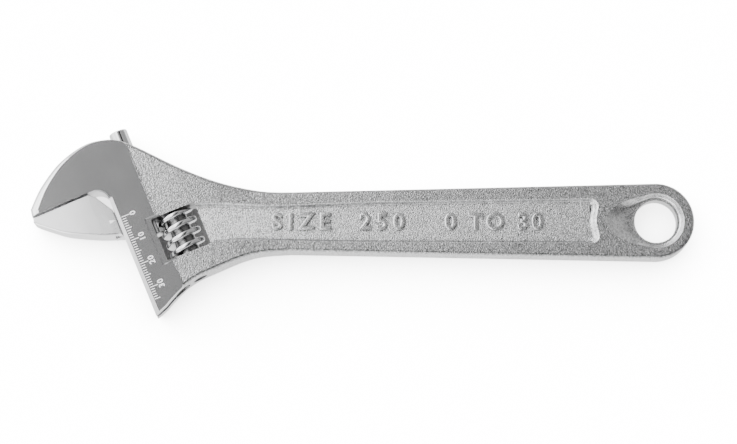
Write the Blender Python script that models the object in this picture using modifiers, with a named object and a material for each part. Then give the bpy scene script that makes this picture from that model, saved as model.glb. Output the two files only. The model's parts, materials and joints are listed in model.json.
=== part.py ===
"""Adjustable wrench, nominal 250 mm, lying flat with its jaws closed.

World frame: metres, origin on the surface it lies on, under the middle of its box.
+X runs along the handle to the hanging hole, +Y to the side of the fixed jaw, +Z up.
Head frame: origin at the worm's centre, turned by SLIDE_TILT about Z. Its n axis runs
from the jaws to the handle and its h axis up the slide, from the foot to the crown.
"""
import bpy
import bmesh
from math import atan, ceil, cos, pi, radians, sin
from mathutils import Matrix, Vector

MM = 0.001

# Overall sizes
HANG_HOLE_X = 115.0 * MM       # hanging hole's centre, from the origin
HEAD_THICKNESS = 15.0 * MM
HANDLE_THICKNESS = 11.0 * MM   # over the rims
HANDLE_WEB = 7.0 * MM          # between the two channels
TAIL_RADIUS = 14.9 * MM
WAIST_X = -28.0 * MM            # narrowest part of the handle
WAIST_ABOVE = 11.4 * MM        # its edges, above and below the handle's axis
WAIST_BELOW = 12.1 * MM
SLIDE_TILT = radians(22.5)     # the slide leans this far from the handle's square
WORM_X = -70.9 * MM
WORM_Y = -4.4 * MM

# Fits
GAP = 0.3 * MM                 # between pieces that touch or slide
WORM_END_GAP = 0.55 * MM       # worm to the window's ends

# Worm, its pin and its spring
WORM_RADIUS = 7.5 * MM
WORM_ROOT_RADIUS = 4.3 * MM
WORM_LENGTH = 16.6 * MM
PITCH = 4.4 * MM
CREST_WIDTH = 1.9 * MM
THREAD_BASE_WIDTH = 2.9 * MM
THREAD_ROUND = 0.5 * MM
CREST_AT_RACK_H = 1.7 * MM     # height of one crest on the rack's side
PIN_RADIUS = 2.0 * MM
PIN_SCREW_RADIUS = 2.6 * MM
PIN_TIP_LENGTH = 5.5 * MM      # of the pin's plain end, above the window
PIN_FOOT_H = -18.3 * MM
PIN_SLOT_WIDTH = 0.9 * MM
PIN_SLOT_DEPTH = 1.1 * MM
SPRING_WIRE_RADIUS = 0.3 * MM
SPRING_TURNS = 5
SPRING_LENGTH = 5.4 * MM

# Slide rod, rack and web
ROD_RADIUS = 3.7 * MM
ROOT_CLEARANCE = 0.5 * MM      # rod to the worm's root
ROD_TOP_H = 47.6 * MM
ROD_FOOT_H = 3.0 * MM
ROD_CHAMFER = 0.7 * MM
WEB_THICKNESS = 4.6 * MM
WEB_TOP_H = 17.9 * MM
WEB_OVERLAP = 3.0 * MM         # web inside the jaw's root
WEB_LIFT = 0.1 * MM            # web's foot above the jaw's
JAW_TRAVEL = 30.0 * MM
CLOSING_TRAVEL = 0.4 * MM

# Jaws and head
FRONT_FROM_ROD = 12.8 * MM     # head's front face to the rod's axis
JAW_LENGTH = 30.0 * MM
CLAMP_H = 27.75 * MM           # fixed clamping face
JAW_FACE_H = 27.3 * MM         # movable clamping face, at rest
JAW_FOOT_H = 7.4 * MM
JAW_THICKNESS = 13.0 * MM
JAW_TIP_THICKNESS = 10.0 * MM
THROAT_RADIUS = 5.0 * MM
HEAD_FOOT_H = -26.8 * MM
FORGED_STEP = 0.3 * MM         # ground face stands this far above the forged skin
GROUND_EDGE_N = -7.2 * MM       # the ground faces end here, in a short slope
GROUND_SLOPE = 0.5 * MM
NECK_N = 16.0 * MM             # the head thins from here to the handle
HANDLE_N = 42.0 * MM
NECK_SWELL = 0.5 * MM          # handle's half thickness, above nominal at its start
TAIL_THINNING = 0.2 * MM       # and under nominal at its tail
FRONT_CHAMFER = 1.7 * MM
CLAMP_CHAMFER = 0.35 * MM
BACK_ROUND = 1.6 * MM
TIP_ROUND = 3.6 * MM
HANDLE_ROUND = 1.3 * MM
JAW_ROUND = 0.9 * MM
POCKET_WIDTH = 2.4 * MM
POCKET_SIDE = 1.05 * MM
WINDOW_CLEARANCE = 1.6 * MM    # worm to the window's handle side
WINDOW_PAST_ROD = 0.8 * MM     # window's jaw side, past the rod's axis

# Channels and hanging hole
CHANNEL_FROM_HOLE = 23.0 * MM  # channel's end wall to the hanging hole's centre
HANG_HOLE_RADIUS = 8.4 * MM
DISH_RADIUS = 10.9 * MM
DISH_TIP = 20.1 * MM           # from the hanging hole's centre
DISH_SHOULDER = 14.5 * MM      # where the dish's sides turn to its tip
DISH_SHOULDER_HALF = 6.8 * MM

# Free-form outlines, in millimetres: the body's lower and upper edges, the channel's two
# long sides, and the movable jaw's belly measured from its root's foot
LOWER_SWEEP = ((-76.4, -33.6), (-73.9, -30.6), (-69.8, -26.4), (-64.1, -22.4), (-57.0, -19.1),
               (-47.3, -15.0), (-39.3, -12.9))
UPPER_SHOULDER = ((-40.0, 11.8), (-55.9, 15.1), (-71.7, 21.0), (-87.6, 28.7), (-93.9, 31.2),
                  (-100.2, 32.1), (-109.2, 30.1), (-118.7, 23.4), (-126.0, 13.6), (-130.1, 4.4))
CHANNEL_TOP = ((-57.0, 7.0), (-46.6, 6.5), (-35.1, 6.2), (-23.0, 6.6), (5.8, 7.7))
CHANNEL_FOOT = ((5.8, -8.6), (-15.0, -8.4), (-30.8, -8.0), (-46.5, -7.7), (-54.4, -8.2))
CHANNEL_WAVE = ((-2.0, 9.0), (0.5, 6.6), (-0.4, 0.0), (0.7, -6.6), (-1.3, -8.9))
JAW_BELLY = ((0.0, 0.0), (8.3, 3.0), (19.2, 8.5), (25.0, 12.9))
JAW_NOSE = ((0.0, -2.6), (-0.3, -1.2), (0.0, 0.0))
JAW_RELIEF_LENGTH = 6.7 * MM   # clearance for the throat, along the clamping face
JAW_RELIEF_CORNER = (4.3 * MM, 2.0 * MM)

# Steps of a rounded rim, as shares of its width: in from the side, down from the face
RIM_ROUNDING = ((1.0, 0.0), (0.3, 0.3), (0.0, 1.0))

MID_Z = HEAD_THICKNESS / 2
RACK_DEPTH = WORM_RADIUS - WORM_ROOT_RADIUS - ROOT_CLEARANCE
ROD_N = RACK_DEPTH - WORM_RADIUS - ROD_RADIUS
FRONT_N = ROD_N - FRONT_FROM_ROD
JAW_ROOT_N = FRONT_N - GAP
WINDOW_HALF_H = WORM_LENGTH / 2 + WORM_END_GAP
WINDOW_LEFT_N = ROD_N - WINDOW_PAST_ROD
WINDOW_RIGHT_N = WORM_RADIUS + WINDOW_CLEARANCE
HEAD_FRAME = Matrix.Translation((WORM_X, WORM_Y, MID_Z)) @ Matrix.Rotation(SLIDE_TILT, 4, "Z")
ALONG_SLIDE = Matrix.Rotation(-pi / 2, 4, "X") @ Matrix.Rotation(-pi / 2, 4, "Z")


def clear_scene():
    for old in list(bpy.data.objects):
        bpy.data.objects.remove(old, do_unlink=True)


def new_collection(name):
    group = bpy.data.collections.new(name)
    bpy.context.scene.collection.children.link(group)
    return group


def material(name, colour, roughness, metallic=1.0):
    finish = bpy.data.materials.new(name)
    finish.use_nodes = True
    shader = finish.node_tree.nodes["Principled BSDF"]
    shader.inputs["Base Color"].default_value = (*colour, 1.0)
    shader.inputs["Roughness"].default_value = roughness
    shader.inputs["Metallic"].default_value = metallic
    finish.diffuse_color = (*colour, 1.0)
    return finish


def head_xy(n, h):
    """World x and y of a point in the head frame."""
    point = HEAD_FRAME @ Vector((n, h, 0.0))
    return point.x, point.y


def smooth(points, steps=4):
    """Points on a Catmull-Rom curve through the given points."""
    ends = [points[0]] + list(points) + [points[-1]]
    line = []
    for a, b, c, d in zip(ends, ends[1:], ends[2:], ends[3:]):
        for step in range(steps):
            t = step / steps
            line.append(tuple(
                0.5 * (2 * q + (r - p) * t + (2 * p - 5 * q + 4 * r - s) * t ** 2
                       + (3 * q - p - 3 * r + s) * t ** 3)
                for p, q, r, s in zip(a, b, c, d)))
    return line + [tuple(points[-1])]


def arc(centre, radius, first, last, steps):
    """Points on an arc between two angles in degrees."""
    angles = [radians(first + (last - first) * i / steps) for i in range(steps + 1)]
    return [(centre[0] + radius * cos(a), centre[1] + radius * sin(a)) for a in angles]


def in_mm(points):
    return [(x * MM, y * MM) for x, y in points]


def mesh_object(name, bm, group):
    mesh = bpy.data.meshes.new(name)
    bm.to_mesh(mesh)
    bm.free()
    obj = bpy.data.objects.new(name, mesh)
    group.objects.link(obj)
    return obj


def plate(name, outline, thickness, mid_z, group):
    """A flat outline, filled and extruded, as a closed mesh."""
    curve = bpy.data.curves.new(name, "CURVE")
    curve.dimensions = "2D"
    curve.fill_mode = "BOTH"
    curve.extrude = thickness / 2
    spline = curve.splines.new("POLY")
    spline.points.add(len(outline) - 1)
    for point, (x, y) in zip(spline.points, outline):
        point.co = (x, y, 0.0, 1.0)
    spline.use_cyclic_u = True
    flat = bpy.data.objects.new(name + "_outline", curve)
    bpy.context.scene.collection.objects.link(flat)
    bpy.context.view_layer.update()
    mesh = bpy.data.meshes.new_from_object(flat.evaluated_get(bpy.context.evaluated_depsgraph_get()))
    bpy.data.objects.remove(flat, do_unlink=True)
    bm = bmesh.new()
    bm.from_mesh(mesh)
    bpy.data.meshes.remove(mesh)
    bmesh.ops.remove_doubles(bm, verts=bm.verts, dist=1e-7)
    bmesh.ops.dissolve_limit(bm, angle_limit=radians(0.01), verts=bm.verts, edges=bm.edges)
    bmesh.ops.recalc_face_normals(bm, faces=bm.faces)
    bmesh.ops.translate(bm, verts=bm.verts, vec=(0.0, 0.0, mid_z))
    return mesh_object(name, bm, group)


def rimmed_plate(name, outline, width_at, thickness, group):
    """A flat outline of the given thickness about MID_Z, lofted so that the rims of its two
    faces are rounded by a width that changes along them."""
    area = sum(a[0] * b[1] - b[0] * a[1] for a, b in zip(outline, outline[1:] + outline[:1]))
    points = [Vector(p) for p in (outline if area > 0 else outline[::-1])]
    ahead = points[1:] + points[:1]
    inward = [Vector((a.y - b.y, b.x - a.x)).normalized() for a, b in zip(points, ahead)]
    widths = [width_at((a + b) / 2) for a, b in zip(points, ahead)]
    insets = []
    drops = []
    for index in range(len(points)):
        before, after = inward[index - 1], inward[index]
        first, second = widths[index - 1], widths[index]
        turn = before.x * after.y - before.y * after.x
        drops.append((first + second) / 2)
        if abs(turn) < 0.5:
            bisector = (before + after).normalized()
            insets.append(bisector * drops[-1] / bisector.dot(after))
        else:
            insets.append(Vector((first * after.y - second * before.y,
                                  second * before.x - first * after.x)) / turn)
    bm = bmesh.new()
    rings = []
    for side in (1, -1):
        for across, down in RIM_ROUNDING[::side]:
            ring = []
            for point, inset, drop in zip(points, insets, drops):
                height = MID_Z + side * (thickness / 2 - down * drop)
                ring.append(bm.verts.new((*(point + across * inset), height)))
            rings.append(ring)
    for upper, lower in zip(rings, rings[1:]):
        for index in range(len(points)):
            bm.faces.new((upper[index - 1], lower[index - 1], lower[index], upper[index]))
    bm.faces.new(rings[0])
    bm.faces.new(rings[-1][::-1])
    bmesh.ops.recalc_face_normals(bm, faces=bm.faces)
    return mesh_object(name, bm, group)


def box(name, low, high, group, frame=Matrix()):
    """A box between two corners of the given frame."""
    size = [b - a for a, b in zip(low, high)]
    middle = [(a + b) / 2 for a, b in zip(low, high)]
    bm = bmesh.new()
    bmesh.ops.create_cube(bm, size=1.0)
    bmesh.ops.scale(bm, vec=size, verts=bm.verts)
    bmesh.ops.translate(bm, vec=middle, verts=bm.verts)
    bmesh.ops.transform(bm, matrix=frame, verts=bm.verts)
    return mesh_object(name, bm, group)


def rod(name, radius, foot, top, group, frame=Matrix(), segments=48, chamfer=0.0):
    """A cylinder along the z axis of the given frame, with an optional chamfer at its top."""
    bm = bmesh.new()
    bmesh.ops.create_cone(bm, cap_ends=True, segments=segments, radius1=radius, radius2=radius,
                          depth=top - foot)
    bmesh.ops.translate(bm, vec=(0.0, 0.0, (foot + top) / 2), verts=bm.verts)
    if chamfer:
        rim = [e for e in bm.edges if all(v.co.z > top - 1e-6 for v in e.verts)]
        bmesh.ops.bevel(bm, geom=rim, offset=chamfer, segments=2, profile=0.5, affect="EDGES")
    bmesh.ops.transform(bm, matrix=frame, verts=bm.verts)
    return mesh_object(name, bm, group)


def slide_rod(name, radius, n, foot, top, group, frame=HEAD_FRAME, chamfer=0.0):
    """A cylinder along the slide, at n in the head frame."""
    place = frame @ Matrix.Translation((n, 0.0, 0.0)) @ ALONG_SLIDE
    return rod(name, radius, foot, top, group, place, chamfer=chamfer)


def combine(target, tool, operation="DIFFERENCE"):
    """Adds a Boolean that stays live; the tool becomes a hidden cutter."""
    boolean = target.modifiers.new(tool.name, "BOOLEAN")
    boolean.operation = operation
    boolean.object = tool
    boolean.solver = "EXACT"
    tool.hide_render = True
    tool.display_type = "WIRE"


def taper(obj, stations, across):
    """Scales the thickness about MID_Z by a law along a direction, straight between stations.

    stations are (distance along the direction, half thickness); across turns a point
    into that distance.
    """
    bm = bmesh.new()
    bm.from_mesh(obj.data)
    origin, direction = across
    for distance, _ in stations[1:-1]:
        everything = list(bm.verts) + list(bm.edges) + list(bm.faces)
        bmesh.ops.bisect_plane(bm, geom=everything, dist=1e-7, plane_no=direction,
                               plane_co=origin + direction * distance)
    top = max(v.co.z for v in bm.verts) - MID_Z
    for vert in bm.verts:
        along = (vert.co - origin).dot(direction)
        for (a, thick_a), (b, thick_b) in zip(stations, stations[1:]):
            if along <= b or b == stations[-1][0]:
                half = thick_a + (thick_b - thick_a) * (along - a) / (b - a)
                break
        vert.co.z = MID_Z + (vert.co.z - MID_Z) / top * half
    bm.to_mesh(obj.data)
    bm.free()


def head_outline():
    """Front of the head and the fixed jaw, from the jaw's tip to the head's foot."""
    tip = head_xy(FRONT_N - JAW_LENGTH, CLAMP_H)
    throat = arc((FRONT_N - THROAT_RADIUS, CLAMP_H - THROAT_RADIUS), THROAT_RADIUS, 90, 0, 8)
    return [tip] + [head_xy(n, h) for n, h in throat] + [head_xy(FRONT_N, HEAD_FOOT_H)]


def lower_edge():
    """From the head's foot along the handle to the tail."""
    return smooth(in_mm(LOWER_SWEEP) + [(WAIST_X, -WAIST_BELOW)])


def tail():
    return arc((HANG_HOLE_X, 0.0), TAIL_RADIUS, -91, 91, 26)


def upper_edge():
    """From the waist over the head's crown and down the fixed jaw's back to its tip."""
    return smooth([(WAIST_X, WAIST_ABOVE)] + in_mm(UPPER_SHOULDER))


def rim_width(point):
    """Width of the rounding of the body's rims at a point."""
    n, h, _ = HEAD_FRAME.inverted() @ point.to_3d()
    if n < FRONT_N - THROAT_RADIUS and abs(h - CLAMP_H) < 0.2 * MM:
        return CLAMP_CHAMFER
    if n < FRONT_N + 0.1 * MM and h < CLAMP_H + 0.1 * MM:
        return FRONT_CHAMFER
    if n < FRONT_N:
        reach = (FRONT_N - n) / JAW_LENGTH
        from_clamp = CLAMP_CHAMFER + 0.6 * abs(h - CLAMP_H)
        return min(from_clamp, BACK_ROUND + (TIP_ROUND - BACK_ROUND) * min(1.0, reach))
    return HANDLE_ROUND if n > GROUND_EDGE_N else BACK_ROUND / 2


def head_stations():
    """Half thickness of the body along n."""
    head = HEAD_THICKNESS / 2
    handle = HANDLE_THICKNESS / 2
    length = HANG_HOLE_X + TAIL_RADIUS - WORM_X
    return [(-length, head), (GROUND_EDGE_N, head), (GROUND_EDGE_N + GROUND_SLOPE, head - FORGED_STEP),
            (NECK_N, head - 2 * FORGED_STEP), (HANDLE_N, handle + NECK_SWELL),
            (length, handle - TAIL_THINNING)]


def channel_outline():
    """Channel in the handle's face, from the worm's window to a wavy end wall."""
    end = HANG_HOLE_X - CHANNEL_FROM_HOLE
    inside = GROUND_SLOPE
    top = [head_xy(WINDOW_RIGHT_N - inside, WINDOW_HALF_H - inside)] + in_mm(CHANNEL_TOP)
    foot = in_mm(CHANNEL_FOOT) + [head_xy(WINDOW_RIGHT_N - inside, inside - WINDOW_HALF_H)]
    wave = [(end + x, y) for x, y in in_mm(CHANNEL_WAVE)]
    return smooth(top) + smooth(wave, 3) + smooth(foot)


def dish_outline():
    """Teardrop round the hanging hole, pointed towards the head."""
    side = [(HANG_HOLE_X - DISH_SHOULDER, DISH_SHOULDER_HALF), (HANG_HOLE_X - DISH_TIP, 0.0),
            (HANG_HOLE_X - DISH_SHOULDER, -DISH_SHOULDER_HALF)]
    round_end = arc((HANG_HOLE_X, 0.0), DISH_RADIUS, -110, 110, 22)
    return smooth([round_end[-1]] + side + [round_end[0]], 4) + round_end[1:-1]


def both_faces(body, name, outline, floor_half, group):
    """Cuts the same recess into the upper and the lower face."""
    depth = HEAD_THICKNESS
    for side, label in ((1, "top"), (-1, "under")):
        middle = MID_Z + side * (floor_half + depth / 2)
        combine(body, plate(f"{name}_{label}", outline, depth, middle, group))


def make_body(parts, cutters):
    outline = head_outline() + lower_edge() + tail() + upper_edge()
    body = rimmed_plate("body", outline, rim_width, HEAD_THICKNESS, parts)
    taper(body, head_stations(), (HEAD_FRAME.translation, HEAD_FRAME.col[0].to_3d()))
    out = 20 * MM
    up = HEAD_THICKNESS
    both_faces(body, "channel", channel_outline(), HANDLE_WEB / 2, cutters)
    both_faces(body, "dish", dish_outline(), HANDLE_WEB / 2, cutters)
    combine(body, rod("hanging_hole", HANG_HOLE_RADIUS, -up, 2 * up, cutters,
                      Matrix.Translation((HANG_HOLE_X, 0.0, 0.0)), segments=64))
    combine(body, box("window", (WINDOW_LEFT_N, -WINDOW_HALF_H, -up), (WINDOW_RIGHT_N, WINDOW_HALF_H, up),
                      cutters, HEAD_FRAME))
    for side, label in ((1, "top"), (-1, "under")):
        floor = HEAD_THICKNESS / 2 - 1.5 * FORGED_STEP
        low, high = sorted((side * floor, side * up))
        reach = WINDOW_HALF_H + POCKET_SIDE
        combine(body, box(f"pocket_{label}", (WINDOW_LEFT_N - POCKET_WIDTH, -reach, low),
                          (GROUND_EDGE_N + 1.0 * MM, reach, high), cutters, HEAD_FRAME))
    combine(body, slide_rod("slide_bore", ROD_RADIUS + GAP, ROD_N, HEAD_FOOT_H - out, ROD_TOP_H + out,
                            cutters))
    slot_top = WEB_TOP_H + CLOSING_TRAVEL + GAP
    slot_half = WEB_THICKNESS / 2 + GAP
    combine(body, box("web_slot", (FRONT_N - out, HEAD_FOOT_H - out, -slot_half),
                      (ROD_N, slot_top, slot_half), cutters, HEAD_FRAME))
    combine(body, slide_rod("pin_tip_hole", PIN_RADIUS + GAP, 0.0, 0.0,
                            WINDOW_HALF_H + PIN_TIP_LENGTH + GAP, cutters))
    combine(body, slide_rod("pin_screw_hole", PIN_SCREW_RADIUS + GAP, 0.0, HEAD_FOOT_H - out, 0.0, cutters))
    body.data.materials.append(material("forged_chrome", (0.62, 0.63, 0.64), 0.38))
    return body


def jaw_outline():
    """Movable jaw in the head frame, from its root's foot round the tip to the root's top."""
    tip_n = JAW_ROOT_N - JAW_LENGTH
    foot = [(JAW_ROOT_N - n, JAW_FOOT_H + h) for n, h in in_mm(JAW_BELLY)]
    nose = [(tip_n + n, JAW_FACE_H + h) for n, h in in_mm(JAW_NOSE)]
    corner_n, corner_h = JAW_RELIEF_CORNER
    relief = [(JAW_ROOT_N - JAW_RELIEF_LENGTH, JAW_FACE_H), (JAW_ROOT_N - corner_n, JAW_FACE_H - corner_h),
              (JAW_ROOT_N, WEB_TOP_H + GAP)]
    return smooth(foot + nose[:-1]) + nose[-1:] + relief


def jaw_rim_width(point):
    n, h = point
    if h > JAW_FACE_H - 2.1 * MM or n > JAW_ROOT_N - 0.1 * MM:
        return CLAMP_CHAMFER
    return min(JAW_ROUND, CLAMP_CHAMFER + 0.5 * (JAW_ROOT_N - n), CLAMP_CHAMFER + 0.5 * (JAW_FACE_H - h))


def rack_cutter(group):
    """One groove for each crest that the rack meets over the jaw's travel."""
    lead = atan(PITCH / (2 * pi * (WORM_RADIUS - RACK_DEPTH / 2)))
    slope = (THREAD_BASE_WIDTH - CREST_WIDTH) / (WORM_RADIUS - WORM_ROOT_RADIUS)
    floor_n = -WORM_RADIUS - GAP
    mouth_n = floor_n + RACK_DEPTH + 2 * GAP
    floor_half = CREST_WIDTH / 2 + GAP
    mouth_half = floor_half + slope / 2 * (mouth_n - floor_n)
    profile = ((floor_n, floor_half), (mouth_n, mouth_half), (mouth_n, -mouth_half), (floor_n, -floor_half))
    first = ceil((ROD_FOOT_H - CREST_AT_RACK_H - mouth_half) / PITCH)
    last = ceil((JAW_TRAVEL + WINDOW_HALF_H - CREST_AT_RACK_H) / PITCH)
    bm = bmesh.new()
    for index in range(first, last):
        middle = CREST_AT_RACK_H + index * PITCH
        corners = [bm.verts.new((n, h, -1.5 * ROD_RADIUS)) for n, h in profile]
        base = bm.faces.new(corners)
        grown = bmesh.ops.extrude_face_region(bm, geom=[base])["geom"]
        lifted = [v for v in grown if isinstance(v, bmesh.types.BMVert)]
        bmesh.ops.translate(bm, vec=(0.0, 0.0, 3 * ROD_RADIUS), verts=lifted)
        for vert in corners + lifted:
            vert.co.y += middle + vert.co.z * lead
    bmesh.ops.recalc_face_normals(bm, faces=bm.faces)
    return mesh_object("rack_grooves", bm, group)


def make_movable_jaw(parts, cutters):
    """Built in the head frame, on the rod's axis, and placed by its matrix."""
    jaw = rimmed_plate("movable_jaw", jaw_outline(), jaw_rim_width, JAW_THICKNESS, parts)
    tip = JAW_ROOT_N - JAW_LENGTH
    stations = [(-JAW_ROOT_N, JAW_THICKNESS / 2), (JAW_RELIEF_LENGTH - JAW_ROOT_N, JAW_THICKNESS / 2),
                (-tip, JAW_TIP_THICKNESS / 2)]
    taper(jaw, stations, (Vector((0.0, 0.0, 0.0)), Vector((-1.0, 0.0, 0.0))))
    jaw.data.transform(Matrix.Translation((-ROD_N, 0.0, -MID_Z)))
    here = Matrix.Translation((-ROD_N, 0.0, 0.0))
    half = WEB_THICKNESS / 2
    web = box("web", (JAW_ROOT_N - WEB_OVERLAP, JAW_FOOT_H + WEB_LIFT, -half), (ROD_N, WEB_TOP_H, half),
              cutters, here)
    round_bar = slide_rod("round_bar", ROD_RADIUS, ROD_N, ROD_FOOT_H, ROD_TOP_H, cutters, here,
                          ROD_CHAMFER)
    grooves = rack_cutter(cutters)
    grooves.data.transform(here)
    place = HEAD_FRAME @ Matrix.Translation((ROD_N, 0.0, 0.0))
    for piece in (jaw, web, round_bar, grooves):
        piece.matrix_world = place
    combine(jaw, web, "UNION")
    combine(jaw, round_bar, "UNION")
    combine(jaw, grooves)
    jaw.data.materials.append(material("jaw_chrome", (0.72, 0.73, 0.74), 0.25))
    return jaw


def thread_body(group):
    """Helical ridge, longer than the worm at both ends, along z."""
    inside = WORM_ROOT_RADIUS - 0.3 * MM
    slope = (THREAD_BASE_WIDTH - CREST_WIDTH) / (WORM_RADIUS - WORM_ROOT_RADIUS)
    base_half = THREAD_BASE_WIDTH / 2 + slope / 2 * (WORM_ROOT_RADIUS - inside)
    shoulder_half = CREST_WIDTH / 2 + slope / 2 * THREAD_ROUND
    crest_half = CREST_WIDTH / 2 - THREAD_ROUND
    turns = ceil(WORM_LENGTH / PITCH / 2) + 1
    start = CREST_AT_RACK_H + PITCH / 4 - turns * PITCH
    profile = [(inside, -base_half), (WORM_RADIUS - THREAD_ROUND, -shoulder_half), (WORM_RADIUS, -crest_half),
               (WORM_RADIUS, crest_half), (WORM_RADIUS - THREAD_ROUND, shoulder_half), (inside, base_half)]
    bm = bmesh.new()
    ring = [bm.verts.new((r, 0.0, start + z)) for r, z in profile]
    for a, b in zip(ring, ring[1:] + ring[:1]):
        bm.edges.new((a, b))
    ridge = mesh_object("thread_profile", bm, group)
    screw = ridge.modifiers.new("turns", "SCREW")
    screw.axis = "Z"
    screw.angle = 2 * pi
    screw.screw_offset = PITCH
    screw.iterations = 2 * turns
    screw.steps = 36
    screw.render_steps = 36
    screw.merge_threshold = 1e-6
    bpy.context.view_layer.update()
    mesh = bpy.data.meshes.new_from_object(ridge.evaluated_get(bpy.context.evaluated_depsgraph_get()))
    bpy.data.objects.remove(ridge, do_unlink=True)
    bm = bmesh.new()
    bm.from_mesh(mesh)
    bpy.data.meshes.remove(mesh)
    bmesh.ops.holes_fill(bm, edges=[e for e in bm.edges if e.is_boundary])
    bmesh.ops.recalc_face_normals(bm, faces=bm.faces)
    return mesh_object("thread", bm, group)


def make_worm(parts, cutters):
    """Built along z, on its own axis, and turned onto the slide's direction."""
    half = WORM_LENGTH / 2
    worm = rod("worm", WORM_ROOT_RADIUS, -half - 1 * MM, half + 1 * MM, parts)
    thread = thread_body(cutters)
    ends = rod("worm_ends", WORM_RADIUS + 1 * MM, -half, half, cutters)
    bore = rod("worm_bore", PIN_RADIUS + GAP, -2 * half, 2 * half, cutters, segments=32)
    spring_radius = PIN_RADIUS + 3 * GAP + 2 * SPRING_WIRE_RADIUS
    counterbore = rod("worm_counterbore", spring_radius, -2 * half,
                      -WINDOW_HALF_H + SPRING_LENGTH + 3 * GAP, cutters, segments=32)
    for piece in (worm, thread, ends, bore, counterbore):
        piece.matrix_world = HEAD_FRAME @ ALONG_SLIDE
    combine(worm, bore)
    combine(worm, counterbore)
    combine(worm, thread, "UNION")
    combine(worm, ends, "INTERSECT")
    worm.data.materials.append(material("worm_steel", (0.66, 0.67, 0.68), 0.18))
    return worm


def make_pin(parts, cutters):
    """Plain shank with a thicker screw end, slotted, that stops below the window."""
    place = HEAD_FRAME @ ALONG_SLIDE
    pin = rod("worm_pin", PIN_RADIUS, -WINDOW_HALF_H - 2 * MM, WINDOW_HALF_H + PIN_TIP_LENGTH, parts,
              segments=32, chamfer=0.4 * MM)
    screw_end = rod("pin_screw_end", PIN_SCREW_RADIUS, PIN_FOOT_H, -WINDOW_HALF_H - GAP, cutters, segments=32)
    slot = box("pin_slot", (-PIN_SLOT_WIDTH / 2, -4 * PIN_RADIUS, PIN_FOOT_H - PIN_SLOT_DEPTH),
               (PIN_SLOT_WIDTH / 2, 4 * PIN_RADIUS, PIN_FOOT_H + PIN_SLOT_DEPTH), cutters)
    for piece in (pin, screw_end, slot):
        piece.matrix_world = place
    combine(pin, screw_end, "UNION")
    combine(pin, slot)
    pin.data.materials.append(material("pin_steel", (0.45, 0.45, 0.46), 0.35))
    return pin


def make_spring(parts):
    """Coil round the pin, in the worm's counterbore, standing clear of both ends."""
    radius = PIN_RADIUS + GAP + SPRING_WIRE_RADIUS
    rise = SPRING_LENGTH - 2 * SPRING_WIRE_RADIUS
    count = SPRING_TURNS * 12
    curve = bpy.data.curves.new("spring", "CURVE")
    curve.dimensions = "3D"
    curve.bevel_depth = SPRING_WIRE_RADIUS
    curve.bevel_resolution = 2
    curve.use_fill_caps = True
    wire = curve.splines.new("POLY")
    wire.points.add(count)
    foot = -WINDOW_HALF_H + GAP + SPRING_WIRE_RADIUS
    for index, point in enumerate(wire.points):
        turn = 2 * pi * SPRING_TURNS * index / count
        point.co = (radius * cos(turn), radius * sin(turn), foot + rise * index / count, 1.0)
    spring = bpy.data.objects.new("spring", curve)
    parts.objects.link(spring)
    spring.matrix_world = HEAD_FRAME @ ALONG_SLIDE
    curve.materials.append(material("spring_steel", (0.35, 0.35, 0.36), 0.4))
    return spring


def build():
    clear_scene()
    parts = new_collection("adjustable_wrench")
    cutters = new_collection("cutters")
    make_body(parts, cutters)
    make_movable_jaw(parts, cutters)
    make_worm(parts, cutters)
    make_pin(parts, cutters)
    make_spring(parts)
    bpy.context.view_layer.update()


build()
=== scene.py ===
"""Adjustable wrench, built in the order in which it is forged, machined and put together."""
import json
import bpy
import bmesh
from math import ceil, cos, pi, radians, sin, tau
from mathutils import Matrix, Vector


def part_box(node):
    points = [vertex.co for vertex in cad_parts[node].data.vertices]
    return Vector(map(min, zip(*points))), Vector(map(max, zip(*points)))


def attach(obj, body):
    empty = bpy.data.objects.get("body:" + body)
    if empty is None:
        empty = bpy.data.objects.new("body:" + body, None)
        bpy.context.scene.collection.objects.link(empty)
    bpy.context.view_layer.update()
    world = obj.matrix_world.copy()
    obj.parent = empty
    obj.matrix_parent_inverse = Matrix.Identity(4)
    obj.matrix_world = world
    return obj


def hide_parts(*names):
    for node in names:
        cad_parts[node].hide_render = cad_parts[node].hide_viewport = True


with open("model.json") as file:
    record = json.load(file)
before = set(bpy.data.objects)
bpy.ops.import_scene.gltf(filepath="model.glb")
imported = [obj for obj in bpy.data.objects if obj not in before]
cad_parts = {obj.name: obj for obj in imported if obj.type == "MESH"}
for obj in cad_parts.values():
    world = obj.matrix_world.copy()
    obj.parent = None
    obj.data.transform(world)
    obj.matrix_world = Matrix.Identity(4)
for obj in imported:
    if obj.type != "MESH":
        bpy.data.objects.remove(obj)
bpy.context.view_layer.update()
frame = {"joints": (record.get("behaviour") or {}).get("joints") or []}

# ---------------------------------------------------------------------------------------
# Forged body: handle, head and fixed jaw in one drop forging. The blank is blasted, the
# head's two faces are ground flat, the jaw opening, worm window, slide bore, web slot and
# pin hole are cut, and the whole is plated in satin chrome.
# ---------------------------------------------------------------------------------------
MM = 0.001
worm_joint = next(j for j in frame["joints"] if j["name"] == "worm_spin")
slide_up = Vector(worm_joint["axis"])
slide_across = slide_up.cross(Vector((0, 0, 1)))
worm_centre = Vector(worm_joint["pos_m"])
body_low, body_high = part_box("body")
HEAD_THICKNESS = body_high.z - body_low.z
MID_Z = (body_high.z + body_low.z) / 2
HEAD_FRAME = Matrix((slide_across, slide_up, Vector((0, 0, 1)))).transposed().to_4x4()
HEAD_FRAME.translation = worm_centre
HEAD_INVERSE = HEAD_FRAME.inverted()

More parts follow.
